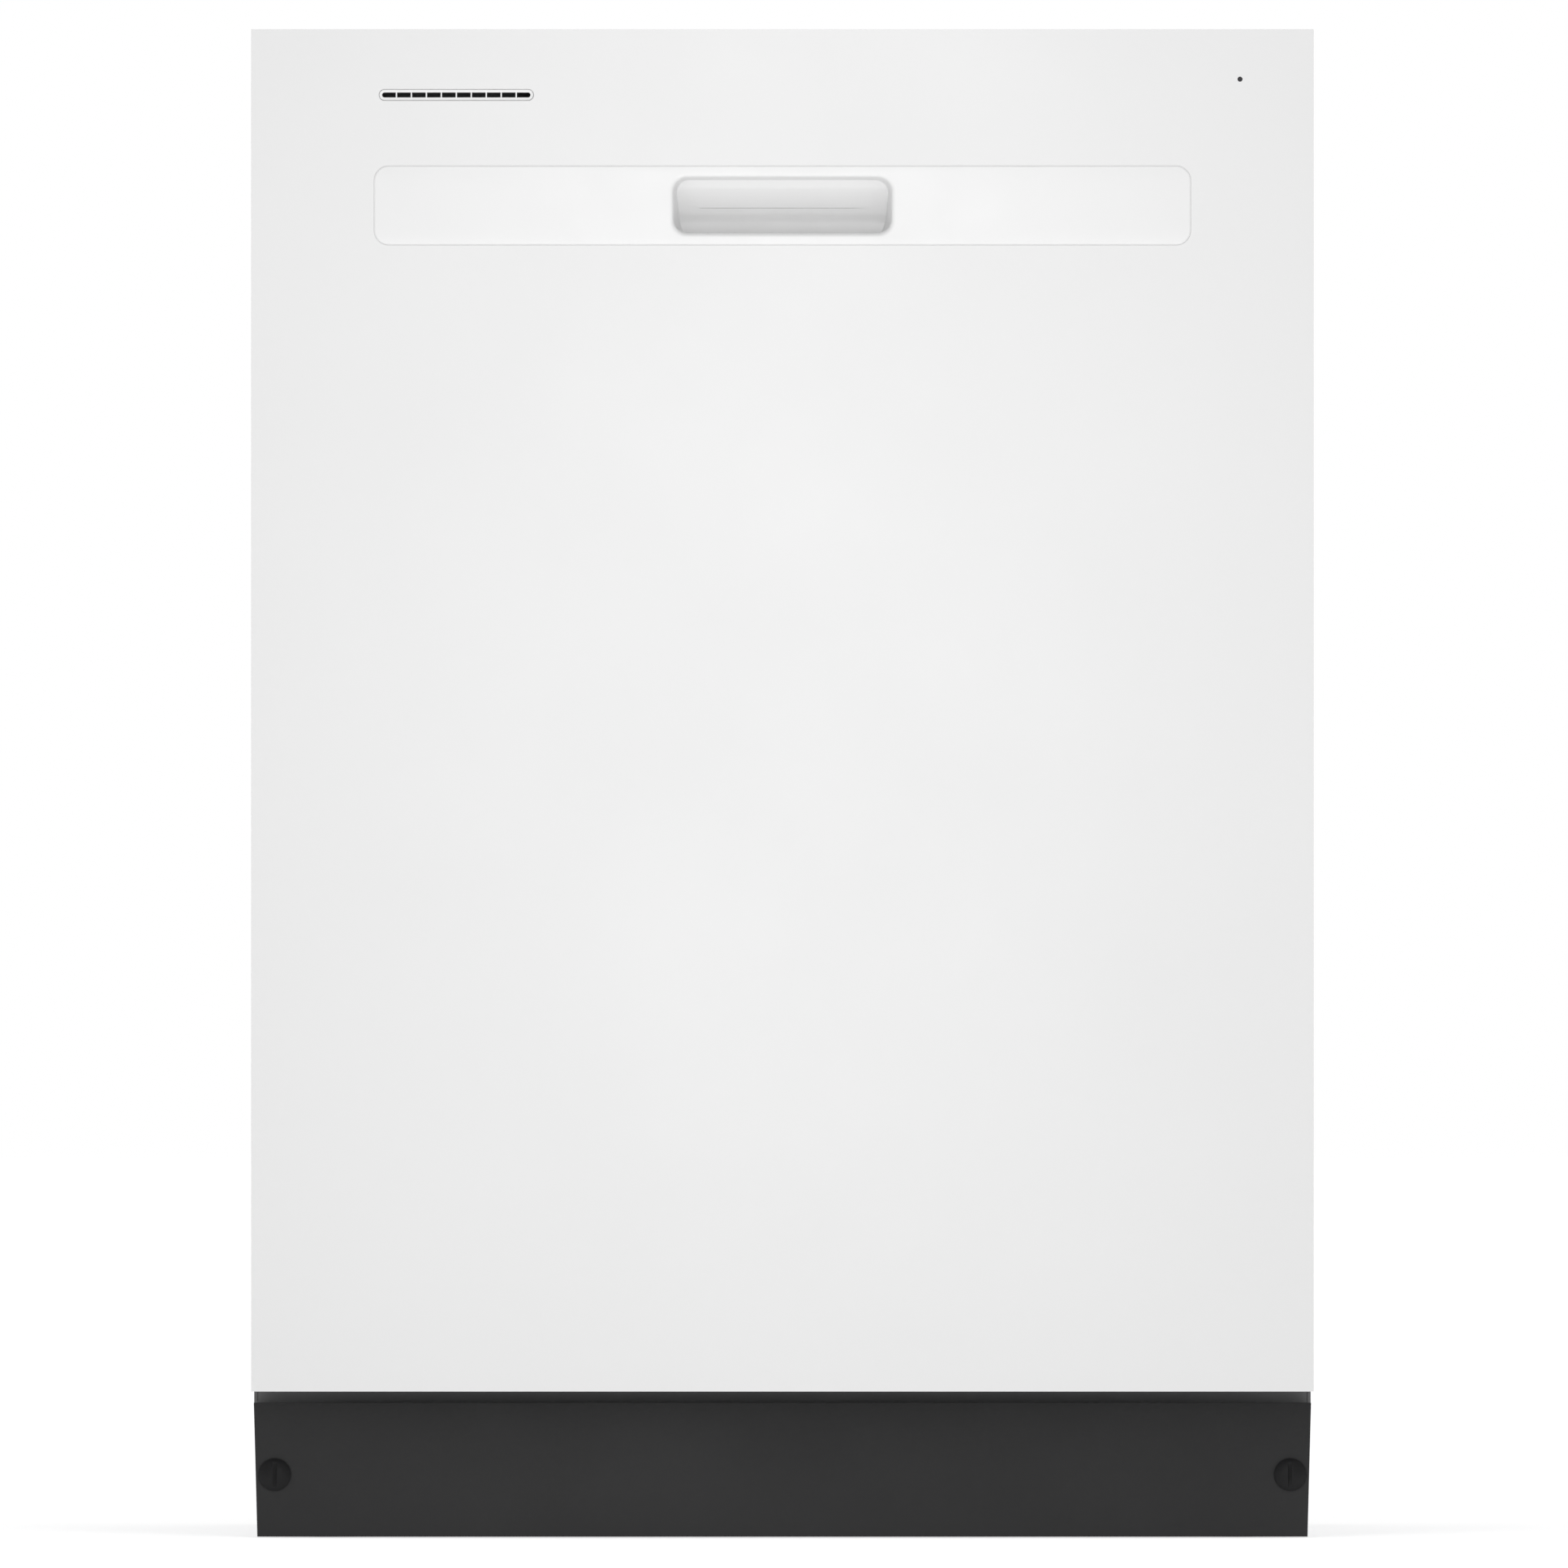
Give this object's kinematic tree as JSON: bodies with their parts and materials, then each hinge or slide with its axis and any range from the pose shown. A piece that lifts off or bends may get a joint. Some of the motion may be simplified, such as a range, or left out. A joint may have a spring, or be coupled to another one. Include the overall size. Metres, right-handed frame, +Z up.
{
  "type": "built-in dishwasher",
  "caption": "Built-in dishwasher with a drop-down door, pocket handle, top-edge push buttons, wash tub, sliding wire racks and spinning spray arms on a steel base with levelling legs.",
  "frame": {"origin": "on the floor, at the middle of the footprint between the door face and the drain fitting", "axes": "+X across the front to the right as seen from the front, +Y from the door to the back, +Z up"},
  "size_m": [0.606, 0.622, 0.861],
  "materials": {
    "door_paint": "smooth semi-gloss white powder coat",
    "white_plastic": "satin white moulded plastic",
    "grey_plastic": "fine-grain mid grey moulded plastic",
    "tub_plastic": "light grey talc-filled plastic with a fine texture",
    "dark_plastic": "black moulded plastic, fine grain",
    "kick_paint": "matt black paint on sheet steel",
    "lens": "smoked lens",
    "board": "solder mask over fibreglass",
    "galvanised": "galvanised sheet with a fine spangle",
    "stainless": "brushed stainless",
    "spring_steel": "drawn spring wire",
    "heater_sheath": "dulled stainless sheath",
    "seal_rubber": "soft extruded rubber",
    "hose_rubber": "ribbed hose rubber",
    "wool": "dense fibre sound pad",
    "rack_coating": "grey nylon-coated steel wire",
    "valve_plastic": "blue moulded plastic",
    "roller_plastic": "white acetal"
  },
  "bodies": {
    "base": {"tub": "tub_plastic", "tub_gasket": "seal_rubber", "insulation_blanket": "wool", "door_strike": "stainless", "top_brackets": "galvanised", "base_frame": "galvanised", "hinge_brackets": "galvanised", "door_springs": "spring_steel", "rear_legs": "dark_plastic", "toe_kick_panel": "kick_paint", "access_panel": "kick_paint", "sump": "grey_plastic", "filter_plate": "stainless", "wash_motor": "spring_steel", "drain_pump": "dark_plastic", "drain_hose": "hose_rubber", "heating_element": "heater_sheath", "inlet_valve": "valve_plastic", "fill_hose": "seal_rubber", "junction_box": "galvanised", "feed_tube": "tub_plastic", "rail_mounts": "stainless"},
    "door": {"door_outer_panel": "door_paint", "handle_insert": "white_plastic", "vent_grille": "white_plastic", "vent_duct": "grey_plastic", "indicator_light": "lens", "control_console": "grey_plastic", "control_board": "board", "latch_housing": "dark_plastic", "door_liner": "tub_plastic", "door_insulation": "wool", "door_bottom_seal": "seal_rubber", "dispenser_body": "grey_plastic", "hinge_arms": "galvanised"},
    "upper_rack": {"upper_rack": "rack_coating"},
    "lower_rack": {"lower_rack": "rack_coating", "silverware_basket": "grey_plastic"},
    "vent_flap": {"vent_flap": "grey_plastic"},
    "button_start": {"button_start": "white_plastic"},
    "button_cycle": {"button_cycle": "white_plastic"},
    "button_dry": {"button_dry": "white_plastic"},
    "button_lock": {"button_lock": "white_plastic"},
    "latch_hook": {"latch_hook": "stainless"},
    "dispenser_cover": {"dispenser_cover": "grey_plastic"},
    "rinse_aid_cap": {"rinse_aid_cap": "dark_plastic"},
    "balance_links": {"balance_links": "galvanised"},
    "leg_front_left": {"leg_front_left": "dark_plastic"},
    "leg_front_right": {"leg_front_right": "dark_plastic"},
    "kick_fastener_left": {"kick_fastener_left": "dark_plastic"},
    "kick_fastener_right": {"kick_fastener_right": "dark_plastic"},
    "filter_cylinder": {"filter_cylinder": "tub_plastic"},
    "wash_impeller": {"wash_impeller": "white_plastic"},
    "overfill_float": {"overfill_float": "tub_plastic"},
    "lower_spray_arm": {"lower_spray_arm": "grey_plastic"},
    "upper_spray_arm": {"upper_spray_arm": "grey_plastic"},
    "rail_rollers_front": {"rail_rollers_front": "roller_plastic"},
    "rail_rollers_rear": {"rail_rollers_rear": "roller_plastic"},
    "lower_wheels_front": {"lower_wheels_front": "grey_plastic"},
    "lower_wheels_rear": {"lower_wheels_rear": "grey_plastic"}
  },
  "joints": [
    {"name": "door_hinge", "type": "hinge", "parent": "base", "child": "door", "pos_m": [0, -0.283, 0.12], "axis": [1, 0, 0], "range_deg": [0, 90], "stiffness_Nm_per_rad": 20, "deforming": ["door_springs"]},
    {"name": "balance_link_pivot", "type": "hinge", "parent": "door", "child": "balance_links", "pos_m": [0, -0.283, 0.147], "axis": [1, 0, 0], "range_deg": [-80, 0]},
    {"name": "upper_rack_slide", "type": "slide", "parent": "base", "child": "upper_rack", "axis": [0, -1, 0], "range_m": [0, 0.42]},
    {"name": "upper_arm_spin", "type": "hinge", "parent": "upper_rack", "child": "upper_spray_arm", "pos_m": [0, -0.01, 0.461], "axis": [0, 0, 1], "continuous": true},
    {"name": "rail_roller_front_turn", "type": "hinge", "parent": "base", "child": "rail_rollers_front", "pos_m": [0, -0.232, 0.5723], "axis": [1, 0, 0], "range_deg": [0, 2700]},
    {"name": "rail_roller_rear_turn", "type": "hinge", "parent": "base", "child": "rail_rollers_rear", "pos_m": [0, -0.178, 0.5723], "axis": [1, 0, 0], "range_deg": [0, 2700]},
    {"name": "lower_rack_slide", "type": "slide", "parent": "base", "child": "lower_rack", "axis": [0, -1, 0], "range_m": [0, 0.46]},
    {"name": "lower_wheel_front_turn", "type": "hinge", "parent": "lower_rack", "child": "lower_wheels_front", "pos_m": [0, -0.16, 0.164], "axis": [1, 0, 0], "range_deg": [0, 1600]},
    {"name": "lower_wheel_rear_turn", "type": "hinge", "parent": "lower_rack", "child": "lower_wheels_rear", "pos_m": [0, 0.185, 0.164], "axis": [1, 0, 0], "range_deg": [0, 1600]},
    {"name": "lower_arm_spin", "type": "hinge", "parent": "base", "child": "lower_spray_arm", "pos_m": [0, -0.01, 0.152], "axis": [0, 0, 1], "continuous": true},
    {"name": "latch_hook_turn", "type": "hinge", "parent": "door", "child": "latch_hook", "pos_m": [0, -0.275, 0.838], "axis": [1, 0, 0], "range_deg": [0, 8], "stiffness_Nm_per_rad": 0.4},
    {"name": "button_start_press", "type": "slide", "parent": "door", "child": "button_start", "axis": [0, 0, -1], "range_m": [0, 0.0012], "stiffness_N_per_m": 600},
    {"name": "button_cycle_press", "type": "slide", "parent": "door", "child": "button_cycle", "axis": [0, 0, -1], "range_m": [0, 0.0012], "stiffness_N_per_m": 600},
    {"name": "button_dry_press", "type": "slide", "parent": "door", "child": "button_dry", "axis": [0, 0, -1], "range_m": [0, 0.0012], "stiffness_N_per_m": 600},
    {"name": "button_lock_press", "type": "slide", "parent": "door", "child": "button_lock", "axis": [0, 0, -1], "range_m": [0, 0.0012], "stiffness_N_per_m": 600},
    {"name": "vent_flap_turn", "type": "hinge", "parent": "door", "child": "vent_flap", "pos_m": [-0.186, -0.269, 0.8145], "axis": [-1, 0, 0], "range_deg": [0, 45]},
    {"name": "dispenser_cover_slide", "type": "slide", "parent": "door", "child": "dispenser_cover", "axis": [1, 0, 0], "range_m": [0, 0.058]},
    {"name": "rinse_cap_turn", "type": "hinge", "parent": "door", "child": "rinse_aid_cap", "pos_m": [0.07, -0.252, 0.545], "axis": [0, 1, 0], "range_deg": [0, 90]},
    {"name": "leg_front_left_turn", "type": "hinge", "parent": "base", "child": "leg_front_left", "pos_m": [-0.26, -0.211, 0.03], "axis": [0, 0, 1], "continuous": true},
    {"name": "leg_front_right_turn", "type": "hinge", "parent": "base", "child": "leg_front_right", "pos_m": [0.26, -0.211, 0.03], "axis": [0, 0, 1], "continuous": true},
    {"name": "kick_fastener_left_turn", "type": "hinge", "parent": "base", "child": "kick_fastener_left", "pos_m": [-0.29, -0.262, 0.036], "axis": [0, 1, 0], "range_deg": [0, 90]},
    {"name": "kick_fastener_right_turn", "type": "hinge", "parent": "base", "child": "kick_fastener_right", "pos_m": [0.29, -0.262, 0.036], "axis": [0, 1, 0], "range_deg": [0, 90]},
    {"name": "filter_turn", "type": "hinge", "parent": "base", "child": "filter_cylinder", "pos_m": [0.048, -0.036, 0.12], "axis": [0, 0, 1], "range_deg": [0, 90]},
    {"name": "impeller_spin", "type": "hinge", "parent": "base", "child": "wash_impeller", "pos_m": [-0.11, -0.01, 0.068], "axis": [1, 0, 0], "continuous": true},
    {"name": "float_rise", "type": "slide", "parent": "base", "child": "overfill_float", "axis": [0, 0, 1], "range_m": [0, 0.008]}
  ],
  "couplings": [
    {"joint": "balance_link_pivot", "follows": "door_hinge", "ratio": -0.8852},
    {"joint": "upper_rack_slide", "follows": "door_hinge", "m_per_rad": 0.255},
    {"joint": "rail_roller_front_turn", "follows": "door_hinge", "ratio": 28.333},
    {"joint": "rail_roller_rear_turn", "follows": "door_hinge", "ratio": 28.333},
    {"joint": "lower_rack_slide", "follows": "door_hinge", "m_per_rad": 0.088},
    {"joint": "lower_wheel_front_turn", "follows": "door_hinge", "ratio": 5.1765},
    {"joint": "lower_wheel_rear_turn", "follows": "door_hinge", "ratio": 5.1765}
  ]
}
